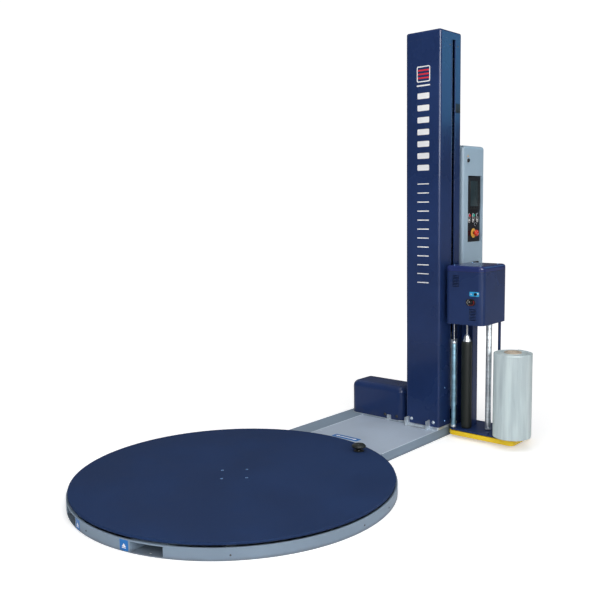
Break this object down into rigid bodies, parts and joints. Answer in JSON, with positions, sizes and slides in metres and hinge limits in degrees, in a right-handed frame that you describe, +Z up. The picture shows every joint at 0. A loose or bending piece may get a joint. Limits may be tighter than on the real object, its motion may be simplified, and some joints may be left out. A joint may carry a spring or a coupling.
{
  "type": "turntable pallet wrapper",
  "caption": "Stretch wrapper for pallets: low turntable with fork pockets, drive beam, mast with film carriage and roll, control cabinet.",
  "frame": {"origin": "turntable's axis at floor level, under the base pan", "axes": "+X from the turntable to the mast, +Y to the drive cover's side, +Z up"},
  "size_m": [2.767, 1.7249, 2.443],
  "materials": {
    "navy_paint": "satin powder coat",
    "table_paint": "textured anti-slip powder coat",
    "housing_paint": "satin powder coat",
    "grey_paint": "satin powder coat",
    "cabinet_paint": "fine textured powder coat",
    "yellow_paint": "gloss powder coat",
    "machine_grey": "enamel",
    "galvanised": "zinc plated",
    "steel": "machined",
    "dark_steel": "oiled",
    "bronze": "machined",
    "chrome": "polished",
    "anodised_blue": "anodised",
    "bolt_blue": "zinc blue",
    "rubber_black": "matt",
    "wheel_nylon": "moulded",
    "black_plastic": "moulded",
    "black_gloss": "gloss",
    "belt_black": "reinforced",
    "cardboard": "spiral wound",
    "film": "stretch film",
    "red_plastic": "moulded",
    "green_plastic": "moulded",
    "red_button": "moulded",
    "electronics": "moulded"
  },
  "bodies": {
    "base": {"base_ring": "grey_paint", "base_pan": "grey_paint", "fork_tunnels": "grey_paint", "beam_frame": "grey_paint", "beam_cover": "grey_paint", "pivot_post": "steel", "wheel_brackets": "galvanised", "drive_gearmotor": "machine_grey", "motor_cover": "navy_paint", "drive_chain": "dark_steel", "mast_column": "navy_paint", "mast_cap": "navy_paint", "mast_base_plate": "galvanised", "foot_brackets": "galvanised", "foot_bolts": "galvanised", "guide_rails": "steel", "lift_drive": "machine_grey", "lift_belt": "belt_black", "cabinet_body": "cabinet_paint", "cabinet_cover": "cabinet_paint", "control_panel": "black_gloss", "hmi_unit": "black_plastic", "control_gear": "electronics"},
    "turntable": {"table_disc": "table_paint", "table_hub": "steel", "bearing_bush": "bronze", "table_sprocket": "dark_steel", "table_bolts": "bolt_blue", "clamp_stem": "steel"},
    "film_clamp": {"clamp_knob": "rubber_black"},
    "drive_shaft": {"drive_sprocket": "dark_steel"},
    "top_pulley": {"lift_top_pulley": "steel"},
    "bottom_pulley": {"lift_bottom_pulley": "steel"},
    "carriage": {"slider_plate": "galvanised", "guide_shoes": "black_plastic", "carriage_column": "navy_paint", "housing_shell": "navy_paint", "housing_lid": "housing_paint", "bottom_plate": "navy_paint", "idler_shafts": "steel", "brake_coil": "machine_grey", "reel_spindle": "steel"},
    "front_idler": {"front_idler_roller": "anodised_blue"},
    "brake_roller": {"rubber_roller": "rubber_black"},
    "rear_idler": {"rear_idler_roller": "chrome"},
    "reel": {"film_core": "cardboard", "film_roll": "film"},
    "foot_guard": {"bumper": "yellow_paint"},
    "tension_dial": {"tension_knob": "black_plastic"},
    "button_1": {"push_button_1": "red_button"},
    "button_2": {"push_button_2": "green_plastic"},
    "button_3": {"push_button_3": "black_plastic"},
    "selector": {"selector_knob": "black_plastic"},
    "estop": {"estop_head": "red_plastic"},
    "power_switch": {"main_switch": "black_plastic"},
    "lock": {"cover_lock": "black_plastic"},
    "wheel_1": {"support_wheel_1": "wheel_nylon"},
    "wheel_2": {"support_wheel_2": "wheel_nylon"},
    "wheel_3": {"support_wheel_3": "wheel_nylon"},
    "wheel_4": {"support_wheel_4": "wheel_nylon"}
  },
  "joints": [
    {"name": "table_spin", "type": "hinge", "parent": "base", "child": "turntable", "pos_m": [0, 0, 0.06], "axis": [0, 0, 1], "continuous": true},
    {"name": "drive_spin", "type": "hinge", "parent": "base", "child": "drive_shaft", "pos_m": [1.505, 0.12, 0.034], "axis": [0, 0, 1], "continuous": true},
    {"name": "film_clamp_lift", "type": "slide", "parent": "turntable", "child": "film_clamp", "axis": [0, 0, 1], "range_m": [0, 0.012], "stiffness_N_per_m": 600, "springref_m": -0.002},
    {"name": "carriage_lift", "type": "slide", "parent": "base", "child": "carriage", "axis": [0, 0, 1], "range_m": [0, 1.6]},
    {"name": "top_pulley_spin", "type": "hinge", "parent": "base", "child": "top_pulley", "pos_m": [1.5, -0.2847, 2.33], "axis": [1, 0, 0], "range_deg": [-3060, 5]},
    {"name": "bottom_pulley_spin", "type": "hinge", "parent": "base", "child": "bottom_pulley", "pos_m": [1.5, -0.2847, 0.11], "axis": [1, 0, 0], "range_deg": [-3060, 5]},
    {"name": "front_idler_spin", "type": "hinge", "parent": "carriage", "child": "front_idler", "pos_m": [1.48, -0.409, 0.3], "axis": [0, 0, 1], "continuous": true},
    {"name": "brake_roller_spin", "type": "hinge", "parent": "carriage", "child": "brake_roller", "pos_m": [1.521, -0.474, 0.3], "axis": [0, 0, 1], "continuous": true},
    {"name": "rear_idler_spin", "type": "hinge", "parent": "carriage", "child": "rear_idler", "pos_m": [1.56, -0.601, 0.3], "axis": [0, 0, 1], "continuous": true},
    {"name": "reel_spin", "type": "hinge", "parent": "carriage", "child": "reel", "pos_m": [1.51, -0.782, 0.3], "axis": [0, 0, 1], "continuous": true},
    {"name": "foot_guard_lift", "type": "slide", "parent": "carriage", "child": "foot_guard", "axis": [0, 0, 1], "range_m": [0, 0.0035], "stiffness_N_per_m": 4000, "springref_m": -0.016},
    {"name": "tension_turn", "type": "hinge", "parent": "carriage", "child": "tension_dial", "pos_m": [1.415, -0.556, 0.855], "axis": [-1, 0, 0], "range_deg": [-135, 135]},
    {"name": "selector_turn", "type": "hinge", "parent": "base", "child": "selector", "pos_m": [1.842, -0.341, 1.3], "axis": [0, -1, 0], "range_deg": [-45, 45]},
    {"name": "power_switch_turn", "type": "hinge", "parent": "base", "child": "power_switch", "pos_m": [1.8282, -0.355, 1.026], "axis": [0, -1, 0], "range_deg": [0, 90]},
    {"name": "lock_turn", "type": "hinge", "parent": "base", "child": "lock", "pos_m": [1.724, -0.355, 1.699], "axis": [0, -1, 0], "range_deg": [0, 90]},
    {"name": "estop_press", "type": "slide", "parent": "base", "child": "estop", "axis": [0, 1, 0], "range_m": [0, 0.005], "stiffness_N_per_m": 800, "springref_m": -0.002},
    {"name": "button_1_press", "type": "slide", "parent": "base", "child": "button_1", "axis": [0, 1, 0], "range_m": [0, 0.003], "stiffness_N_per_m": 500, "springref_m": -0.001},
    {"name": "button_2_press", "type": "slide", "parent": "base", "child": "button_2", "axis": [0, 1, 0], "range_m": [0, 0.003], "stiffness_N_per_m": 500, "springref_m": -0.001},
    {"name": "button_3_press", "type": "slide", "parent": "base", "child": "button_3", "axis": [0, 1, 0], "range_m": [0, 0.003], "stiffness_N_per_m": 500, "springref_m": -0.001},
    {"name": "wheel_1_spin", "type": "hinge", "parent": "base", "child": "wheel_1", "pos_m": [0.49497, 0.49497, 0.0437], "axis": [0.7071, 0.7071, 0], "continuous": true},
    {"name": "wheel_2_spin", "type": "hinge", "parent": "base", "child": "wheel_2", "pos_m": [-0.49497, 0.49497, 0.0437], "axis": [-0.7071, 0.7071, 0], "continuous": true},
    {"name": "wheel_3_spin", "type": "hinge", "parent": "base", "child": "wheel_3", "pos_m": [-0.49497, -0.49497, 0.0437], "axis": [-0.7071, -0.7071, 0], "continuous": true},
    {"name": "wheel_4_spin", "type": "hinge", "parent": "base", "child": "wheel_4", "pos_m": [0.49497, -0.49497, 0.0437], "axis": [0.7071, -0.7071, 0], "continuous": true}
  ],
  "couplings": [
    {"joint": "drive_spin", "follows": "table_spin", "ratio": 4.1765},
    {"joint": "top_pulley_spin", "follows": "carriage_lift", "rad_per_m": -33.003},
    {"joint": "bottom_pulley_spin", "follows": "carriage_lift", "rad_per_m": -33.003},
    {"joint": "wheel_1_spin", "follows": "table_spin", "ratio": -31.818},
    {"joint": "wheel_2_spin", "follows": "table_spin", "ratio": -31.818},
    {"joint": "wheel_3_spin", "follows": "table_spin", "ratio": -31.818},
    {"joint": "wheel_4_spin", "follows": "table_spin", "ratio": -31.818}
  ]
}
